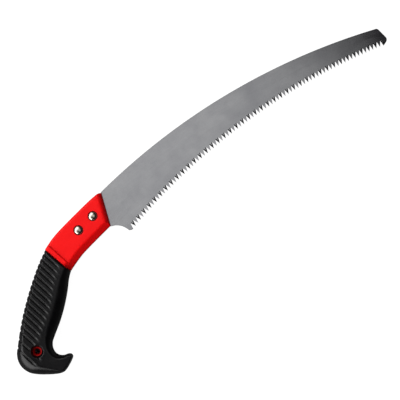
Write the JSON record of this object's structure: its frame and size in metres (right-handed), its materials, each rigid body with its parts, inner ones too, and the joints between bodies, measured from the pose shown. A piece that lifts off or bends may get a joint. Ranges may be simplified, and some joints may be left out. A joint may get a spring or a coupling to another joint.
{
  "type": "pruning saw",
  "caption": "Fixed pruning saw: curved steel blade riveted into a red neck, ribbed black rubber grip with a hooked butt and a lanyard hole.",
  "frame": {"origin": "middle of the saw's footprint, on the surface that it lies on", "axes": "+X from the butt to the blade's tip, +Y from the teeth to the back, +Z out of the right-hand side"},
  "size_m": [0.528, 0.1113, 0.026],
  "materials": {
    "blade_steel": "satin ground steel",
    "core_nylon": "smooth moulded, semi-gloss",
    "grip_rubber": "matt with a slight sheen",
    "rivet_metal": "bright nickel plate"
  },
  "bodies": {
    "root": {"blade": "blade_steel", "core_right": "core_nylon", "core_left": "core_nylon", "grip_sleeve": "grip_rubber", "front_rivet_post": "rivet_metal", "front_rivet_socket": "rivet_metal", "rear_rivet_post": "rivet_metal", "rear_rivet_socket": "rivet_metal"}
  },
  "joints": []
}
